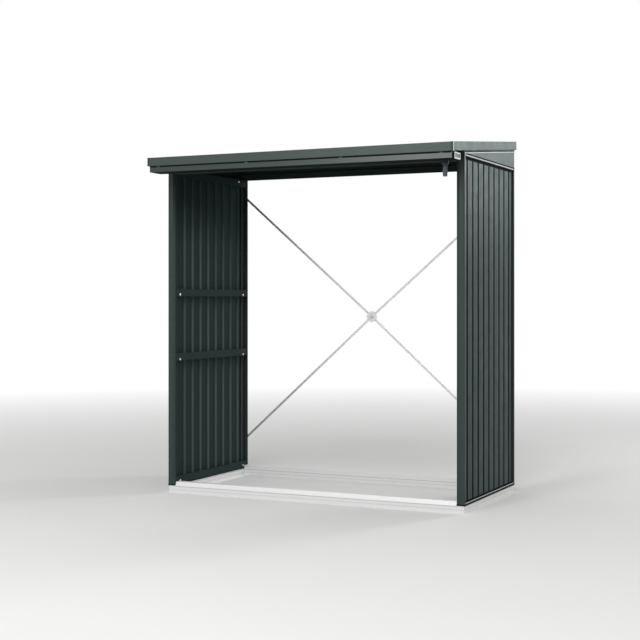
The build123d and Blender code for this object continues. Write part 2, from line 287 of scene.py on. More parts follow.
noiseSpread = (0.3, 0.7)  # most of a noise's values lie between these

# Patterns in the paint: the scale and detail of each noise, which of its values count and how much they
# add, and how strongly the wave and the grain tilt the surface.
paintPattern = {
    "streaks": {"noise": (1.0, 3), "from": (0.35, 0.65), "amount": 0.6},
    "clouds": {"noise": (3.5, 3), "from": noiseSpread, "amount": 0.4},
    "grain": {"noise": (850.0, 1), "from": (0.60, 0.78), "amount": 0.4, "strength": 0.35, "relief": 0.00005},
    "sheen": {"noise": (14.0, 3)},
    "wave": {"noise": (0.3, 1), "strength": 0.3},
    "softEdge": 0.0012,
}

# Dull parts of the paint. Undersides get a dark tone that is painted shade, and faces that look into the
# store a thin backing coat, which is painted darker under the roof, between the two heights, as the roof's
# shadow.
undersideShade = {"tone": (0.006, 0.012, 0.011), "roughness": 0.95}
backing = {
    "tone": (0.027, 0.039, 0.037),
    # the roof's shadow on the inside faces, painted as a darker tone
    "roofShadeTone": (0.012, 0.018, 0.017),
    "roofShadeFrom": (1.50, 1.76),
    "roughness": 0.80,
}

# Where a mask by facing starts and where it is full, as the part of the face's normal along an axis.
# Inward and outward are counted along X, times the distance from the middle.
facingRamps = {"down": (-0.3, -0.8), "forward": (-0.3, -0.6), "inward": (-0.02, -0.08), "outward": (0.3, 0.6)}

# Bands of another tone, from one distance from the middle to another along an axis; each is painted light
# or shade. A band can keep to faces that look forward, and can fade in between two heights. capFrontShade
# takes the whole front of a cap.
# Bright ribs on the inside of the wall sheets, on faces that look forward: painted highlights, darker under
# the roof.
ribs = {
    "axis": "X",
    "from": panOut - 0.0014,
    "to": panOut - 0.0022,
    "tone": (0.076, 0.106, 0.102),
    "roofShadeTone": (0.044, 0.062, 0.059),
    "forward": True,
}
# Dark sides of the grooves: painted shade in the recesses.
grooveSideShade = {"axis": "X", "from": panOut - 0.0003, "to": panOut - 0.0018, "tone": (0.004, 0.006, 0.006)}
# Pale outer faces of the rails' lips: a painted highlight.
lipHighlight = {"axis": "X", "from": railOut - 0.0022, "to": railOut - 0.0016, "tone": (0.58, 0.62, 0.61)}
# Bright outer edge of each post, brighter higher up: a painted highlight.
postEdgeHighlight = {
    "axis": "X",
    "from": railOut - 0.0006,
    "to": railOut - 0.0001,
    "tone": (0.105, 0.125, 0.122),
    "fade": (1.05, 1.75),
}
# Dark band on each post's front face near its outer edge, stronger higher up: painted shade.
postShade = {
    "axis": "X",
    "from": railOut - 0.0070,
    "to": railOut - 0.0058,
    "tone": (0.010, 0.014, 0.014),
    "fade": (1.05, 1.75),
    "forward": True,
}
# Pale sides of the corner covers: a painted highlight.
coverSideHighlight = {"axis": "X", "from": trimOut + 0.0001, "to": trimOut + 0.0006, "tone": (0.64, 0.68, 0.675)}
# Darker recess in each gutter end cap: painted shade.
capRecessShade = {"axis": "X", "from": capOut - 0.0008, "to": capOut - 0.0012, "tone": (0.055, 0.062, 0.060)}
# Dark front faces of the end caps: painted shade.
capFrontShade = {"axis": "X", "from": 0.50, "to": 0.60, "tone": (0.010, 0.012, 0.012), "forward": True}
# The spout darkens towards its top, under the gutter: painted shade.
outletTopShade = {
    "axis": "Z",
    "from": outletHigh.z - 0.055,
    "to": outletHigh.z - 0.020,
    "tone": (0.012, 0.017, 0.019),
}

# The wall sheets' grooves: how far the first and the last are from the sheet's ends, how many pans lie
# between them, half a groove's width with its soft edge, and the dark tone of the shade painted there.
grooves = {
    "fromFront": 0.0527,
    "fromBack": 0.0677,
    "pans": 8,
    "half": 0.0105,
    "soft": 0.0020,
    "tone": (0.004, 0.006, 0.006),
}


# How much of a band there is at a place: a ramp between its two distances, times a ramp between its
# two heights, times the mask of faces that look forward.
def bandShare(tree, band):
    place, facing = placeAndFacing(tree)
    distance = calculate(tree, "ABSOLUTE", place[band["axis"]])
    share = remap(tree, distance, band["from"], band["to"])
    if "fade" in band:
        share = calculate(tree, "MULTIPLY", share, remap(tree, place["Z"], *band["fade"]))
    if "forward" in band:
        share = calculate(tree, "MULTIPLY", share, remap(tree, facing["Y"], *facingRamps["forward"]))
    return share


# 1 within half a width of each groove of a wall sheet, from how far the place is from the nearest groove:
# where the grooves' shade is painted.
def grooveShadeShare(tree, look):
    first = panelLow.y + look["fromFront"]
    pitch = (panelHigh.y - look["fromBack"] - first) / look["pans"]
    fromFirst = calculate(tree, "SUBTRACT", placeAndFacing(tree)[0]["Y"], first)
    distance = calculate(tree, "PINGPONG", fromFirst, pitch / 2)
    return remap(tree, distance, look["half"] + look["soft"], look["half"])


# A pattern's noise, and how much it adds: nothing at the low end of the values that count, and its
# amount at the high end.
def drawPattern(tree, vector, pattern):
    values = noise(tree, vector, *pattern["noise"])
    return values, remap(tree, values, *pattern["from"], 0, pattern["amount"])


# stretch draws the streaks out. groovesShaded=True paints shade along the wall sheets' grooves, and painted
# highlights on the ribs that they make on the inside. shadedEnds=True puts the undersides' painted shade on
# ends that look outwards too.
def paintMaterial(name, look, stretch, bands=(), groovesShaded=False, shadedEnds=False):
    material, tree, shader = newMaterial(name, look["tone"], look["roughness"][0],
                                         specular=look["specular"])
    shader.inputs["Specular Tint"].default_value = (*look["tint"], 1)
    plain = stretchedCoords(tree)
    drawn = stretchedCoords(tree, stretch)
    place, facing = placeAndFacing(tree)
    outward = calculate(tree, "MULTIPLY", place["X"], facing["X"])
    inward = remap(tree, outward, *facingRamps["inward"])
    # where the undersides' shade is painted: faces that look down, and outward ends where asked
    shadedUnder = remap(tree, facing["Z"], *facingRamps["down"])
    if shadedEnds:
        shadedUnder = calculate(tree, "MAXIMUM", shadedUnder, remap(tree, outward, *facingRamps["outward"]))

    # the coat's own tone, with its bands and grooves of painted light and shade
    streaks = drawPattern(tree, drawn, paintPattern["streaks"])[1]
    clouds = drawPattern(tree, plain, paintPattern["clouds"])[1]
    grain, specks = drawPattern(tree, plain, paintPattern["grain"])
    colour = mixColours(tree, calculate(tree, "ADD", streaks, clouds), look["tone"], look["paleTone"])
    colour = mixColours(tree, specks, colour, look["grainTone"])
    for band in bands:
        colour = mixColours(tree, bandShare(tree, band), colour, band["tone"])
    if groovesShaded:
        colour = mixColours(tree, grooveShadeShare(tree, grooves), colour, grooves["tone"])

    # the backing coat with the roof's painted shadow and the ribs' painted highlights, and the undersides'
    # painted shade over it
    # the roof's painted shadow on the inside, darker between the two heights
    roofShadeShare = remap(tree, place["Z"], *backing["roofShadeFrom"])
    backTone = mixColours(tree, roofShadeShare, backing["tone"], backing["roofShadeTone"])
    if groovesShaded:
        ribHighlightTone = mixColours(tree, roofShadeShare, ribs["tone"], ribs["roofShadeTone"])
        backTone = mixColours(tree, bandShare(tree, ribs), backTone, ribHighlightTone)
    colour = mixColours(tree, inward, colour, backTone)
    tree.links.new(mixColours(tree, shadedUnder, colour, undersideShade["tone"]), shader.inputs["Base Color"])

    sheen = noise(tree, plain, *paintPattern["sheen"]["noise"])
    rough = remap(tree, sheen, *noiseSpread, *look["roughness"])
    for mask, dull in ((inward, backing), (shadedUnder, undersideShade)):
        rough = calculate(tree, "MAXIMUM", rough, calculate(tree, "MULTIPLY", mask, dull["roughness"]))
    tree.links.new(rough, shader.inputs["Roughness"])
    if "lacquer" in look:
        weight, coatRoughness = look["lacquer"]
        shader.inputs["Coat Roughness"].default_value = coatRoughness
        tree.links.new(remap(tree, shadedUnder, 0, 1, weight, 0), shader.inputs["Coat Weight"])

    wave = noise(tree, drawn, *paintPattern["wave"]["noise"])
    edges = softEdges(tree, paintPattern["softEdge"])
    waved = addBump(tree, wave, paintPattern["wave"]["strength"], look["wave"], edges)
    grained = addBump(tree, grain, paintPattern["grain"]["strength"], paintPattern["grain"]["relief"], waved)
    tree.links.new(grained, shader.inputs["Normal"])
    return material


# Which way each sheet's streaks run.
upright, frontToBack, across = (45, 45, 0.8), (45, 0.8, 45), (0.8, 45, 45)
postPaint = paintMaterial("anthracite posts", postPaintLook, upright, (postEdgeHighlight, postShade))
wallPaint = paintMaterial("anthracite wall sheets", mattPaint, upright, (grooveSideShade,), groovesShaded=True)
railPaint = paintMaterial("anthracite rails", mattPaint, frontToBack, (lipHighlight,))
trimPaint = paintMaterial("anthracite satin across", satinPaint, across)
gutterPaint = paintMaterial("anthracite gutter", gutterPaintLook, across, shadedEnds=True)
sideTrimPaint = paintMaterial("anthracite edges front to back", edgePaint, frontToBack)
coverPaint = paintMaterial("anthracite corner covers", edgePaint, upright, (coverSideHighlight,))
roofPaint = paintMaterial("anthracite roof", roofPaintLook, frontToBack)
frontBeamLightPaint = paintMaterial("front beam painted light", frontBeamLightLook, across)
rearBeamShadePaint = paintMaterial("rear beam painted shade", rearBeamShadeLook, across)

# Mill-finish aluminium: die lines along the bar, small scuffs on it, and two painted shadow lines where its
# lips meet, each full in its core and soft out to its half width. across and frontToBack stretch the die
# lines.
millFinish = {
    "tone": (0.75, 0.75, 0.745),
    "dullTone": (0.655, 0.66, 0.66),
    "roughness": (0.46, 0.62),
    "metallic": 0.2,
}
# A paler copy for the side sills, whose extra brightness is painted light.
paintedLightMill = {
    "tone": (0.93, 0.935, 0.93),
    "dullTone": (0.84, 0.845, 0.84),
    "roughness": (0.46, 0.62),
    "metallic": 0.0,
}
millPattern = {
    "specular": 0.3,
    "across": (1.5, 700, 700),
    "frontToBack": (700, 1.5, 700),
    "lines": (1.0, 4, 0.6),
    "linesFrom": (0.35, 0.7),
    "scuffs": (60.0, 4, 0.65),
    "leastScuffed": 0.45,
    "strength": 0.4,
    "relief": 0.00006,
    "softEdge": 0.0008,
}
# heights and widths of the painted shadow lines
lipShadowLines = {
    "heights": (0.0385, 0.0200),
    "halves": (0.0016, 0.0008),
    "core": 0.6,
    "tone": (0.42, 0.425, 0.425),
}


def aluminiumMaterial(name, look, stretch):
    material, tree, shader = newMaterial(name, look["tone"], look["roughness"][0], look["metallic"],
                                         millPattern["specular"])
    lines = noise(tree, stretchedCoords(tree, stretch), *millPattern["lines"])
    scuffs = noise(tree, stretchedCoords(tree), *millPattern["scuffs"])
    scuffed = remap(tree, scuffs, *noiseSpread, millPattern["leastScuffed"], 1)
    dull = calculate(tree, "MULTIPLY", remap(tree, lines, *millPattern["linesFrom"]), scuffed)
    colour = mixColours(tree, dull, look["tone"], look["dullTone"])
    height = placeAndFacing(tree)[0]["Z"]
    for level, half in zip(lipShadowLines["heights"], lipShadowLines["halves"]):
        distance = calculate(tree, "ABSOLUTE", calculate(tree, "SUBTRACT", height, level))
        line = remap(tree, distance, half, lipShadowLines["core"] * half)
        colour = mixColours(tree, line, colour, lipShadowLines["tone"])
    tree.links.new(colour, shader.inputs["Base Color"])
    tree.links.new(remap(tree, scuffs, *noiseSpread, *look["roughness"]), shader.inputs["Roughness"])
    edges = softEdges(tree, millPattern["softEdge"])
    lined = addBump(tree, lines, millPattern["strength"], millPattern["relief"], edges)
    tree.links.new(lined, shader.inputs["Normal"])
    return material


sillMetal = aluminiumMaterial("mill aluminium across", millFinish, millPattern["across"])
sideSillMetal = aluminiumMaterial("mill aluminium front to back", paintedLightMill, millPattern["frontToBack"])

# Galvanised steel: flakes of zinc, each with its own tone and shine, on a finely pitted surface.
zincFlakes = {
    "tone": (0.76, 0.77, 0.78),
    "darkTone": (0.56, 0.575, 0.59),
    "roughness": (0.30, 0.50),
    "metallic": 0.7,
    "flakes": 160.0,
    "pits": (420.0, 3),
    "strength": 0.3,
    "relief": 0.00008,
    "softEdge": 0.0006,
}


def zincMaterial(name, look):
    material, tree, shader = newMaterial(name, look["tone"], look["roughness"][0], look["metallic"])
    plain = stretchedCoords(tree)
    flakes = tree.nodes.new("ShaderNodeTexVoronoi")
    flakes.inputs["Scale"].default_value = look["flakes"]
    tree.links.new(plain, flakes.inputs["Vector"])
    split = tree.nodes.new("ShaderNodeSeparateColor")
    tree.links.new(flakes.outputs["Color"], split.inputs["Color"])
    colour = mixColours(tree, split.outputs["Red"], look["tone"], look["darkTone"])
    tree.links.new(colour, shader.inputs["Base Color"])
    rough = remap(tree, split.outputs["Green"], 0, 1, *look["roughness"])
    tree.links.new(rough, shader.inputs["Roughness"])
    edges = softEdges(tree, look["softEdge"])
    pitted = addBump(tree, noise(tree, plain, *look["pits"]), look["strength"], look["relief"], edges)
    tree.links.new(pitted, shader.inputs["Normal"])
    return material


# Cast, moulded and turned pieces: two tones in fine specks, an uneven sheen that is a few times coarser,
# and a grained surface.
speckPattern = {
    "detail": (3, 0.6),
    "coarser": 6,
    "sheenDetail": 2,
    "strength": 0.35,
    "softEdge": 0.0008,
}


def speckledMaterial(name, look, bands=()):
    material, tree, shader = newMaterial(name, look["tone"], look["roughness"][0], look["metallic"],
                                         look["specular"])
    plain = stretchedCoords(tree)
    grain = noise(tree, plain, look["grain"], *speckPattern["detail"])
    colour = mixColours(tree, remap(tree, grain, *noiseSpread), look["tone"], look["otherTone"])
    for band in bands:
        colour = mixColours(tree, bandShare(tree, band), colour, band["tone"])
    tree.links.new(colour, shader.inputs["Base Color"])
    sheen = noise(tree, plain, look["grain"] / speckPattern["coarser"], speckPattern["sheenDetail"])
    tree.links.new(remap(tree, sheen, *noiseSpread, *look["roughness"]), shader.inputs["Roughness"])
    edges = softEdges(tree, speckPattern["softEdge"])
    grained = addBump(tree, grain, speckPattern["strength"], look["relief"], edges)
    tree.links.new(grained, shader.inputs["Normal"])
    return material


screwSteel = {
    "tone": (0.74, 0.75, 0.76),
    "otherTone": (0.60, 0.61, 0.62),
    "roughness": (0.22, 0.34),
    "metallic": 1.0,
    "specular": 0.5,
    "grain": 700.0,
    "relief": 0.00002,
}
capPaint = {
    "tone": (0.86, 0.90, 0.89),
    "otherTone": (0.77, 0.81, 0.80),
    "roughness": (0.40, 0.52),
    "metallic": 0.0,
    "specular": 0.3,
    "grain": 500.0,
    "relief": 0.00004,
}
outletPlastic = {
    "tone": (0.062, 0.075, 0.083),
    "otherTone": (0.086, 0.100, 0.109),
    "roughness": (0.42, 0.56),
    "metallic": 0.0,
    "specular": 0.15,
    "grain": 350.0,
    "relief": 0.00005,
}
# Black rubber for the seals, also used for the black strips that are painted shade.
sealRubberAndShade = {
    "tone": (0.008, 0.009, 0.009),
    "otherTone": (0.014, 0.015, 0.015),
    "roughness": (0.66, 0.82),
    "metallic": 0.0,
    "specular": 0.05,
    "grain": 600.0,
    "relief": 0.00006,
}
# The bead's pale tone is a painted highlight.
beadHighlightLook = {
    "tone": (0.66, 0.70, 0.69),
    "otherTone": (0.56, 0.60, 0.59),
    "roughness": (0.34, 0.46),
    "metallic": 0.0,
    "specular": 0.4,
    "grain": 500.0,
    "relief": 0.00004,
}
zinc = zincMaterial("galvanised steel", zincFlakes)
stainless = speckledMaterial("stainless screws", screwSteel)
capMetal = speckledMaterial("end cap metal", capPaint, (capRecessShade, capFrontShade))
outletGrey = speckledMaterial("outlet plastic", outletPlastic, (outletTopShade,))
blackSealAndShade = speckledMaterial("seal rubber and painted shade", sealRubberAndShade)
beadHighlightPaint = speckledMaterial("painted highlight bead", beadHighlightLook)


def dress(material, *names):
    for name in names:
        mesh = nodes[name].data
        mesh.materials.clear()
        mesh.materials.append(material)


for hand in ("left", "right"):
    dress(postPaint, f"{hand}_front_post", f"{hand}_rear_post")
    dress(wallPaint, f"{hand}_wall_panel")
    dress(railPaint, f"{hand}_bottom_rail", f"{hand}_top_rail")
    dress(railPaint, f"{hand}_lower_mid_rail", f"{hand}_upper_mid_rail")
    dress(sideTrimPaint, f"{hand}_gable_panel", f"{hand}_fascia")
    dress(sideSillMetal, f"{hand}_base_sill")
    dress(blackSealAndShade, f"{hand}_base_seal")
    dress(capMetal, f"{hand}_gutter_end_cap")
    for level in ("upper", "lower"):
        dress(zinc, f"{hand}_{level}_brace_anchor", f"{hand}_{level}_brace_strap")
dress(trimPaint, "front_fascia", "rear_fascia")
dress(gutterPaint, "gutter")
dress(frontBeamLightPaint, "front_beam")
dress(rearBeamShadePaint, "rear_beam")
dress(roofPaint, "roof_panel_1", "roof_panel_2", "roof_panel_3", "roof_panel_4")
dress(sillMetal, "base_front_sill", "base_rear_sill")
dress(outletGrey, "gutter_outlet")
dress(zinc, "brace_hub")
print("finishes are on the frame")


# Pan-head screws through the inside face of each rail, near its ends, each on a thin washer. The wall
# and top of the washer, the crown's fall and the socket's width are shares, and the rest is in metres.
railScrews = {
    "washer": 0.0070,
    "washerSheet": 0.0010,
    "head": 0.0048,
    "rise": 0.0030,
    "recess": 0.0021,
    "recessDepth": 0.0018,
    "washerWall": 0.7,
    "washerTop": 0.94,
    "crownFall": 0.75,
    "socketWidth": 0.8,
    "fromBottom": {"top_rail": 0.031, "upper_mid_rail": 0.010, "lower_mid_rail": 0.007, "bottom_rail": 0.015},
    "fromTopRailEnd": 0.110,
    "fromRailEnd": 0.056,
}


# A pan head: a washer, then a crown whose height falls off as the fourth power of its radius,
# with a hexagon sunk into its top.
def panHead(look):
    outward = np.linspace(1, 0, 6)
    radius = look["recess"] + (look["head"] - look["recess"]) * outward
    height = look["washerSheet"] + look["rise"] * (1 - look["crownFall"] * outward ** 4)
    crown = np.stack((radius, height, 0 * radius), axis=-1)
    washer, sheet = look["washer"], look["washerSheet"]
    skirt = (
        (washer, -sunk, 0),
        (washer, look["washerWall"] * sheet, 0),
        (look["washerTop"] * washer, sheet, 0),
        (look["head"], sheet, 0),
    )
    socketRadius, top = look["socketWidth"] * look["recess"], sheet + look["rise"]
    socket = ((socketRadius, top, 1), (socketRadius, top - look["recessDepth"], 1))
    return turnedRings(np.concatenate((skirt, crown, socket)))


for hand, inwards in (("left", axisX), ("right", -axisX)):
    spots = []
    for rail, fromBottom in railScrews["fromBottom"].items():
        low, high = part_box(f"{hand}_{rail}")
        inner = high.x if hand == "left" else low.x
        fromEnd = railScrews["fromTopRailEnd" if rail == "top_rail" else "fromRailEnd"]
        spots += [(inner, y, low.z + fromBottom) for y in (low.y + fromEnd, high.y - fromEnd)]
    rings = placeCopies(panHead(railScrews), spots, axisY, np.cross(inwards, axisY))
    ringMesh(f"{hand}RailScrews", rings, stainless)

# Bolts of the cross brace: one through the hub, one through each anchor, and rivets that hold the
# straps' inner ends to the hub plate. hubShank is the radius and length of the bolt's end past its nut.
braceBolts = {
    "washerSheet": 0.0016,
    "hub": {"washer": 0.0120, "flats": 0.0085, "rise": 0.0066},
    "hubNut": {"washer": 0.0120, "flats": 0.0085, "rise": 0.0084},
    "hubShank": (0.0050, 0.0040),
    "anchor": {"washer": 0.0085, "flats": 0.0065, "rise": 0.0053},
    "rivet": 0.0043,
    "rivetRise": 0.0022,
    "rivetSides": 20,
    "rivetFromHub": 0.0255,
}


# What all hexagon heads share: widths as a part of the washer's, the flats' or the tip's, the washer's
# wall as a part of its sheet, and the rest in metres.
hexShape = {
    "washerWall": 0.8,
    "washerTop": 0.95,
    "foot": 0.97,
    "footRise": 0.0004,
    "shoulderDrop": 0.0016,
    "rim": 0.99,
    "rimDrop": 0.0006,
    "rimHex": 0.5,
    "top": 0.94,
    "tipEnd": 0.8,
    "tipDrop": 0.0008,
}


# A hexagon head on its washer: straight flats, a rim turned off round, and a flat top, from which
# the bolt's threaded end stands out where tip gives its radius and length.
def hexHead(sizes, washerSheet, tip=None):
    washer, flats, shape = sizes["washer"], sizes["flats"], hexShape
    top = washerSheet + sizes["rise"]
    rows = [
        (washer, -sunk, 0),
        (washer, shape["washerWall"] * washerSheet, 0),
        (shape["washerTop"] * washer, washerSheet, 0),
        (shape["foot"] * flats, washerSheet, 1),
        (flats, washerSheet + shape["footRise"], 1),
        (flats, top - shape["shoulderDrop"], 1),
        (shape["rim"] * flats, top - shape["rimDrop"], shape["rimHex"]),
        (shape["top"] * flats, top, 0),
    ]
    if tip is not None:
        radius, length = tip
        rows += [
            (radius, top, 0),
            (radius, top + length - shape["tipDrop"], 0),
            (shape["tipEnd"] * radius, top + length, 0),
        ]
    return turnedRings(rows)


# A rivet's head: a quarter ellipse turned round, left flat for the last 10 degrees.
def rivetHead(radius, rise, sides):
    dome = arcPoints(0, 0, 1, 0, 80)
    rows = np.column_stack((radius * dome[:, 0], rise * dome[:, 1], 0 * dome[:, 0]))
    return turnedRings(np.concatenate((((radius, -sunk, 0),), rows)), sides)


hubLow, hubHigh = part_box("brace_hub")
hubCentre = np.array(hubLow + hubHigh) / 2 * (1, 0, 1)
hubFront = hubCentre + axisY * hubLow.y
hubBack = hubCentre + axisY * hubHigh.y
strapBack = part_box("left_upper_brace_strap")[1].y
bolt = hexHead(braceBolts["hub"], braceBolts["washerSheet"])
nut = hexHead(braceBolts["hubNut"], braceBolts["washerSheet"], braceBolts["hubShank"])
ringMesh("hubBolt", placeCopies(bolt, [hubBack], -axisX, axisZ), zinc)
ringMesh("hubNut", placeCopies(nut, [hubFront], axisX, axisZ), zinc)

anchorSpots = []
for hand in ("left", "right"):
    for level in ("upper", "lower"):
        low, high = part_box(f"{hand}_{level}_brace_anchor")
        anchorSpots.append(np.array(low + high) / 2)
anchorSpots = np.array(anchorSpots) * (1, 0, 1) + axisY * strapBack
anchorHead = hexHead(braceBolts["anchor"], braceBolts["washerSheet"])
ringMesh("anchorBolts", placeCopies(anchorHead, anchorSpots, -axisX, axisZ), zinc)

strapStart = hubCentre + axisY * strapBack
strapWays = (anchorSpots - strapStart) / np.linalg.norm(anchorSpots - strapStart, axis=1)[:, None]
rivetSpots = strapStart + strapWays * braceBolts["rivetFromHub"]
rivet = rivetHead(braceBolts["rivet"], braceBolts["rivetRise"], braceBolts["rivetSides"])
ringMesh("strapRivets", placeCopies(rivet, rivetSpots, -axisX, axisZ), stainless)
print("screws, bolts and rivets made")


# The roof's slope, from the lower edges of its front and rear trim.
frontTrim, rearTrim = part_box("front_fascia"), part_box("rear_fascia")
slope = (rearTrim[0].z - frontTrim[0].z) / (rearTrim[1].y - frontTrim[0].y)
alongSlope = np.array((0, 1, slope)) / np.hypot(1, slope)
offSlope = np.cross(axisX, alongSlope)
trays = [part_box(f"roof_panel_{number}") for number in (1, 2, 3, 4)]
deckLow, deckHigh = trays[0]


# The height of the deck's underside, up the slope from its front edge.
def deckHeight(y):
    return deckLow.z + (y - deckLow.y) * slope


# Caps folded over the standing seams between the roof trays, with a turned-out foot on each side. They
# start past the deck's front edge and stop short of its back.
seamCaps = {
    "half": 0.0075,
    "foot": 0.0120,
    "bottom": 0.0085,
    "top": 0.0280,
    "sheet": 0.0008,
    "roll": 0.0025,
    "pastFront": 0.003,
    "fromBack": 0.004,
    "stations": 12,
}


# From the right foot up, over the rolled top, down to the left foot, and back along the inside.
def capOutline(look):
    half, bottom, top, sheet, roll = (look[key] for key in ("half", "bottom", "top", "sheet", "roll"))
    fold = 3 * sheet  # the foot turns up into the side over this rise
    foot = np.array(((look["foot"], bottom), (look["foot"], bottom + sheet), (half, bottom + fold)))
    right = arcPoints(half - roll, top - roll, roll, 0, 90)
    left = arcPoints(roll - half, top - roll, roll, 90, 180)
    inner = np.array(((sheet - half, bottom + sheet), (sheet - half, top - sheet)))
    return np.concatenate((foot, right, left, foot[::-1] * (-1, 1), inner, inner[::-1] * (-1, 1)))


capEnds = (deckHigh.y - seamCaps["fromBack"], deckLow.y - seamCaps["pastFront"])
caps = []
for x in [low.x for low, high in trays[1:]]:
    start, end = ((x, y, deckHeight(y)) for y in capEnds)
    caps.append(carryOutline(capOutline(seamCaps), start, end, axisX, axisZ, seamCaps["stations"]))
ringMesh("seamCaps", np.array(caps), roofPaint)

# Painted screws along the ribs of the deck, each on a black sealing washer, whose wall and top are
# shares of its sheet and radius.
roofScrews = {
    "ribs": (1 / 3, 2 / 3),
    "ribHeight": 0.0150,
    "fromDeckStart": (0.055, 0.340, 0.625, 0.905),
    "seal": 0.0085,
    "sealSheet": 0.0016,
    "sealSunk": 0.0004,
    "sealWall": 0.7,
    "sealTop": 0.93,
    "sealSides": 18,
    "head": {"washer": 0.0074, "flats": 0.0042, "rise": 0.0048},
    "washerSheet": 0.0012,
}
sealRadius, sealSheet = roofScrews["seal"], roofScrews["sealSheet"]
sealRows = (
    (sealRadius, -roofScrews["sealSunk"], 0),
    (sealRadius, roofScrews["sealWall"] * sealSheet, 0),
    (roofScrews["sealTop"] * sealRadius, sealSheet, 0),
)
ribX = [low.x + (high.x - low.x) * share for low, high in trays for share in roofScrews["ribs"]]
screwY = [deckLow.y + y for y in roofScrews["fromDeckStart"]]
ribSpots = np.array([(x, y, deckHeight(y) + roofScrews["ribHeight"]) for x in ribX for y in screwY])
washers = placeCopies(turnedRings(sealRows, roofScrews["sealSides"]), ribSpots, axisX, alongSlope)
ringMesh("roofScrewSeals", washers, blackSealAndShade)
roofHead = hexHead(roofScrews["head"], roofScrews["washerSheet"])
heads = placeCopies(roofHead, ribSpots + offSlope * sealSheet, axisX, alongSlope)
ringMesh("roofScrews", heads, roofPaint)

# Covers over the mitres of the roof trim: an L of thin sheet with a rolled corner, which follows the
# trim's slope along the side.
cornerCovers = {"alongFront": 0.011, "alongSide": 0.013, "sheet": 0.0010, "roll": 0.0040, "height": 0.0500}


# Seen from above at the right front corner: round the roll, along the side, and back along the trim.
def cornerOutline(look):
    sheet, roll = look["sheet"], look["roll"]
    side, front = look["alongSide"], -look["alongFront"]
    rest = np.array(((sheet, side), (0, side), (0, 0), (front, 0), (front, -sheet)))
    return np.concatenate((arcPoints(sheet - roll, roll - sheet, roll, -90, 0, 8), rest))


covers = []
for trim, toY in ((frontTrim, 1), (rearTrim, -1)):
    for toX in (-1, 1):
        corner = np.array((trim[1].x * toX, trim[0].y if toY > 0 else trim[1].y, trim[0].z))
        outline = cornerOutline(cornerCovers) * (toX, toY)
        outline = outline if toX * toY > 0 else outline[::-1]
        cover = carryOutline(outline, corner, corner + axisZ * cornerCovers["height"], axisX, axisY)
        cover[..., 2] += (cover[..., 1] - corner[1]) * slope
        covers.append(cover)
ringMesh("cornerCovers", np.array(covers), coverPaint)

# A thin black line, which is painted shade, and a pale bead, whose brightness is a painted highlight, along
# the top of each gable, just under the side trim. Each has the heights it fills, measured from the trim's
# lower edge, and how far it goes into and out of the gable.
gableHighlightBead = {"bottom": -0.0150, "top": -0.0090, "in": -0.0010, "out": 0.0026, "roll": 0.0010}
# The black line stands where there is only a shadow gap: painted shade.
gableShadeLine = {"bottom": -0.0095, "top": -0.0040, "in": -0.0010, "out": 0.0014, "roll": 0.0005}
gableStripInset = 0.001


def gableStrips(name, look, material):
    strips = []
    for toX in (-1, 1):
        outline = stripOutline(look["in"], look["out"], look["bottom"], look["top"], look["roll"]) * (toX, 1)
        ends = [(gableHigh.x * toX, y, frontTrim[0].z + (y - frontTrim[0].y) * slope)
                for y in (gableLow.y + gableStripInset, gableHigh.y - gableStripInset)]
        start, end = ends if toX < 0 else ends[::-1]
        strips.append(carryOutline(outline, start, end, axisX, axisZ))
    ringMesh(name, np.array(strips), material)


gableStrips("gableHighlightBeads", gableHighlightBead, beadHighlightPaint)
gableStrips("gableShadeLines", gableShadeLine, blackSealAndShade)
print("roof caps, screws, corner covers and beads made")


# Clips that hang the gutter from the front trim: a tab on the gutter's face, hooked over the trim's lip.
gutterClips = {
    "places": (-0.890, -0.297, 0.297, 0.890),
    "width": 0.020,
    "sheet": 0.0015,
    "fromTrim": 0.0002,
    "drop": 0.0070,
}


# (forward, up) from the trim's lower edge: down the face of the gutter, round the tip, and back up.
def clipOutline(look):
    sheet, top = look["sheet"], -look["fromTrim"]
    tip = arcPoints(sheet / 2, -look["drop"], sheet / 2, 180, 360)
    return np.concatenate((((sheet, top), (0, top)), tip))


gutterLow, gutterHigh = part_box("gutter")
halfClip = gutterClips["width"] / 2
clips = []
for x in gutterClips["places"]:
    start, end = ((side, gutterLow.y, frontTrim[0].z) for side in (x + halfClip, x - halfClip))
    clips.append(carryOutline(clipOutline(gutterClips), start, end, -axisY, axisZ))
ringMesh("gutterClips", np.array(clips), trimPaint)

# A black strip between the front trim and the gutter's face: painted shade in the gap there.
gutterShadeStrip = {"height": 0.0070, "out": 0.0012, "roll": 0.0005, "fromEnd": 0.004}


# (forward, up) from the trim's lower edge: a flat strip with its lower outer corner rolled.
def shadeStripOutline(look):
    height, out, roll = look["height"], look["out"], look["roll"]
    corner = arcPoints(out - roll, roll - height, roll, -90, 0, 4)
    return np.concatenate((((-roll, 0), (-roll, -height)), corner, ((out, 0),)))


shadeStripX = (gutterHigh.x - gutterShadeStrip["fromEnd"], gutterLow.x + gutterShadeStrip["fromEnd"])
start, end = ((x, gutterLow.y, frontTrim[0].z) for x in shadeStripX)
strip = carryOutline(shadeStripOutline(gutterShadeStrip), start, end, -axisY, axisZ)
ringMesh("gutterShadeStrip", strip[None], blackSealAndShade)

# Barbs round the gutter's spout, for a hose, each at its own height above the spout's tip.
spoutBarbs = {
    "spout": 0.0120,
    "in": 0.0005,
    "out": 0.0016,
    "rise": 0.0050,
    "fromTip": (0.007, 0.015, 0.023),
    "steps": 40,
}


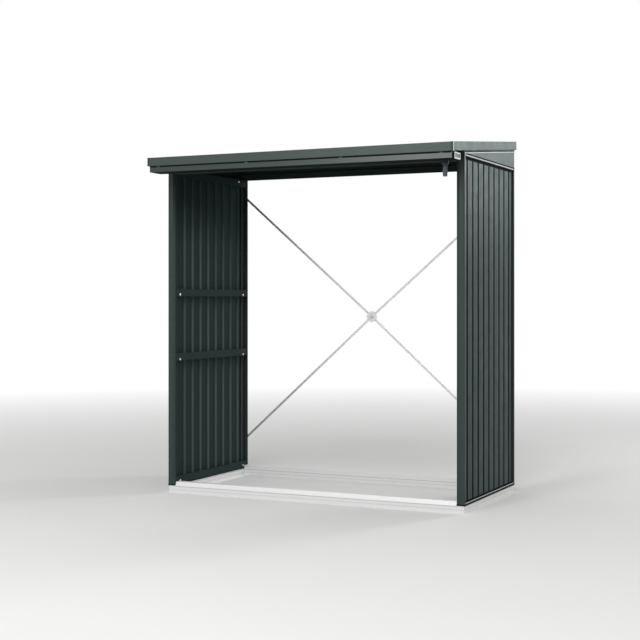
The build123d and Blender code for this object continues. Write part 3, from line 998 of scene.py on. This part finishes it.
# A barb's outline of (out, up) points carried round the spout's middle: at angle t a point stands at
# (spout + out) times (cos, sin) of minus t.
def barbRings(look, middle, height):
    angle = np.arange(look["steps"])[:, None] * 2 * np.pi / look["steps"]
    outline = np.array(((-look["in"], 0), (0, 0), (look["out"], look["rise"]), (-look["in"], look["rise"])))
    reach = look["spout"] + outline[:, 0]
    x = middle[0] + reach * np.cos(-angle)
    y = middle[1] + reach * np.sin(-angle)
    return np.stack((x, y, height + outline[:, 1] + 0 * angle), axis=-1)


spoutMiddle = ((outletLow.x + outletHigh.x) / 2, (outletLow.y + outletHigh.y) / 2)
barbs = [barbRings(spoutBarbs, spoutMiddle, outletLow.z + rise) for rise in spoutBarbs["fromTip"]]
ringMesh("spoutBarbs", np.array(barbs), outletGrey, looped=True)

# Plugs in the open ends of the front and rear sills: a plate with rounded corners over the sill's end.
sillPlugs = {"stand": 0.0018, "corner": 0.0016, "edge": 0.0006, "in": 0.0005}


# The same rounded rectangle three times: inside the sill, near the plug's face, and drawn in at the face.
def plugRings(width, height, look):
    def rounded(inset):
        corner = look["corner"]
        a, b = width / 2 - inset - corner, height / 2 - inset - corner
        return np.concatenate([arcPoints(a * sx, b * sy, corner, start, start + 90, 5)
                               for sx, sy, start in ((1, 1, 0), (-1, 1, 90), (-1, -1, 180), (1, -1, 270))])
    outlines = np.stack((rounded(0), rounded(0), rounded(look["edge"])))
    heights = np.array((-look["in"], look["stand"] - look["edge"], look["stand"]))
    return np.concatenate((outlines, np.repeat(heights[:, None, None], outlines.shape[1], axis=1)), axis=-1)


sills = (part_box("base_front_sill"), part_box("base_rear_sill"))
sillWidth = sills[0][1].y - sills[0][0].y
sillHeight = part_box("right_base_sill")[1].z
for hand, outwards in (("left", -axisX), ("right", axisX)):
    spots = [(low.x if hand == "left" else high.x, (low.y + high.y) / 2, sillHeight / 2)
             for low, high in sills]
    rings = placeCopies(plugRings(sillWidth, sillHeight, sillPlugs), spots, np.cross(axisZ, outwards), axisZ)
    ringMesh(f"{hand}SillPlugs", rings, sideSillMetal)
print("clips, barbs and plugs made")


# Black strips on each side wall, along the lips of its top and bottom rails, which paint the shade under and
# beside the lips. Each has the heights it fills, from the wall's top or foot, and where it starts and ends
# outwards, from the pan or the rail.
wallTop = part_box("right_top_rail")[1].z
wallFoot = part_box("right_bottom_rail")[0].z
gableDepths, lipDepths, edgeDepths = (-0.0030, -0.0006), (-0.0110, 0.0012), (-0.0010, 0.0012)
shadeStrips = {
    "gable": {"from": wallTop, "heights": (-0.0005, 0.0085), "out": railOut, "depths": gableDepths},
    "topLip": {"from": wallTop, "heights": (-0.0245, -0.0116), "out": panOut, "depths": lipDepths},
    "topEdge": {"from": wallTop, "heights": (-0.0130, -0.0072), "out": railOut, "depths": edgeDepths},
    "bottomLip": {"from": wallFoot, "heights": (0.0068, 0.0160), "out": panOut, "depths": lipDepths},
    "bottomEdge": {"from": wallFoot, "heights": (-0.0020, 0.0025), "out": railOut, "depths": edgeDepths},
}
stripRoll = 0.0009
for hand, toX in (("left", -1), ("right", 1)):
    strips = []
    for name, look in shadeStrips.items():
        inside, outside = (look["out"] + depth for depth in look["depths"])
        bottom, top = (look["from"] + height for height in look["heights"])
        outline = stripOutline(inside, outside, bottom, top, stripRoll) * (toX, 1)
        ends = (gableLow.y, gableHigh.y) if name == "gable" else (panelLow.y, panelHigh.y)
        start, end = ends if toX < 0 else ends[::-1]
        strips.append(carryOutline(outline, axisY * start, axisY * end, axisX, axisZ))
    ringMesh(f"{hand}ShadeStrips", np.array(strips), blackSealAndShade)
print("closing strips made")


# Camera, at the height of a chest, level, with the picture's middle slid towards the object's left.
cameraSetup = {
    "place": (3.284, -6.580, 1.164),
    "turn": 23.64,
    "sensor": 36,
    "lens": 69.38,
    "shift": (-0.12, -0.0334),
}
camera = bpy.data.objects.new("camera", bpy.data.cameras.new("camera"))
camera.location = cameraSetup["place"]
camera.rotation_euler = (radians(90), 0, radians(cameraSetup["turn"]))
camera.data.sensor_width = cameraSetup["sensor"]
camera.data.lens = cameraSetup["lens"]
camera.data.shift_x, camera.data.shift_y = cameraSetup["shift"]
scene.collection.objects.link(camera)
scene.camera = camera

# Floor: a pale disc that fades to white away from the object, so that its far edge never shows.
floorLook = {
    "rings": (0.5, 2.0, 5.0, 12.0, 30.0, 80.0),
    "spokes": 64,
    "tone": (0.78, 0.78, 0.77),
    "otherTone": (0.75, 0.75, 0.74),
    "clouds": (1.2, 4),
    "roughness": 0.85,
    "specular": 0.2,
    "fade": (1.6, 9.0),
}


# A flat disc: each ring's radius times (cos, sin) of the angle, with four-sided faces between the rings
# and one many-sided face inside the first.
def discMesh(name, radii, spokes):
    angle = np.linspace(0, 2 * np.pi, spokes + 1)[:-1]
    radius = np.array(radii)[:, None]
    points = np.stack((radius * np.cos(angle), radius * np.sin(angle), 0 * radius * angle), axis=-1)
    index = np.arange(len(radii) * spokes).reshape(len(radii), spokes)
    here, there = index[:-1], index[1:]
    quads = np.stack((here, there, np.roll(there, -1, 1), np.roll(here, -1, 1)), axis=-1)
    faces = quads.reshape(-1, 4).tolist() + [index[0].tolist()]
    mesh = bpy.data.meshes.new(name)
    mesh.from_pydata(points.reshape(-1, 3).tolist(), [], faces)
    return mesh


# 1 for rays that see the background: straight from the camera, in a reflection or through glass.
def seenDirectly(tree):
    path = tree.nodes.new("ShaderNodeLightPath")
    share = calculate(tree, "MAXIMUM", path.outputs["Is Camera Ray"], path.outputs["Is Glossy Ray"])
    return calculate(tree, "MAXIMUM", share, path.outputs["Is Transmission Ray"])


# The floor's own matt tone near the object, and where it is seen directly a white glow further out.
def floorMaterial(name, look):
    material, tree, shader = newMaterial(name, look["tone"], look["roughness"], specular=look["specular"])
    plain = stretchedCoords(tree)
    colour = mixColours(tree, noise(tree, plain, *look["clouds"]), look["tone"], look["otherTone"])
    tree.links.new(colour, shader.inputs["Base Color"])
    length = tree.nodes.new("ShaderNodeVectorMath")
    length.operation = "LENGTH"
    tree.links.new(plain, length.inputs[0])
    far = remap(tree, length.outputs["Value"], *look["fade"])
    glow = tree.nodes.new("ShaderNodeEmission")
    blend = tree.nodes.new("ShaderNodeMixShader")
    tree.links.new(calculate(tree, "MULTIPLY", far, seenDirectly(tree)), blend.inputs["Fac"])
    tree.links.new(shader.outputs["BSDF"], blend.inputs[1])
    tree.links.new(glow.outputs["Emission"], blend.inputs[2])
    tree.links.new(blend.outputs["Shader"], tree.nodes["Material Output"].inputs["Surface"])
    return material


floor = bpy.data.objects.new("floor", discMesh("floor", floorLook["rings"], floorLook["spokes"]))
floor.data.materials.append(floorMaterial("pale floor", floorLook))
scene.collection.objects.link(floor)

# Light: an even sky, white where it is seen, a large soft lamp from the front right, and weaker ones
# from the left and from behind the right side. A small lamp that only the gutter receives makes it gleam.
studio = {
    "sky": 0.42,
    "aim": (0, 0, 1.0),
    "lamps": {
        "keyLamp": {"place": (0.8, -6.5, 6.0), "size": (4.5, 4.5), "watts": 430},
        "fillLamp": {"place": (-1.2, -5.8, 3.0), "size": (2.2, 1.6), "watts": 24},
        "sideLamp": {"place": (2.43, 2.9, 2.75), "size": (0.8, 1.9), "watts": 38},
        "gleamLamp": {"place": (-1.6, -6.6, 2.65), "size": (1.0, 0.7), "watts": 24, "only": "gutter"},
    },
}
world = bpy.data.worlds.new("studio")
scene.world = world
world.use_nodes = True
background = world.node_tree.nodes["Background"]
background.inputs["Color"].default_value = (1, 1, 1, 1)
skyLevel = remap(world.node_tree, seenDirectly(world.node_tree), 0, 1, studio["sky"], 1)
world.node_tree.links.new(skyLevel, background.inputs["Strength"])
for name, look in studio["lamps"].items():
    lamp = bpy.data.objects.new(name, bpy.data.lights.new(name, "AREA"))
    lamp.data.shape = "RECTANGLE"
    lamp.data.size, lamp.data.size_y = look["size"]
    lamp.data.energy = look["watts"]
    lamp.location = look["place"]
    lamp.rotation_euler = (lamp.location - Vector(studio["aim"])).to_track_quat("Z", "Y").to_euler()
    lamp.visible_camera = False
    scene.collection.objects.link(lamp)
    if "only" in look:
        receivers = bpy.data.collections.new(name + " receivers")
        receivers.objects.link(nodes[look["only"]])
        lamp.light_linking.receiver_collection = receivers
scene.view_settings.view_transform = "Standard"
print("camera, floor and light set")
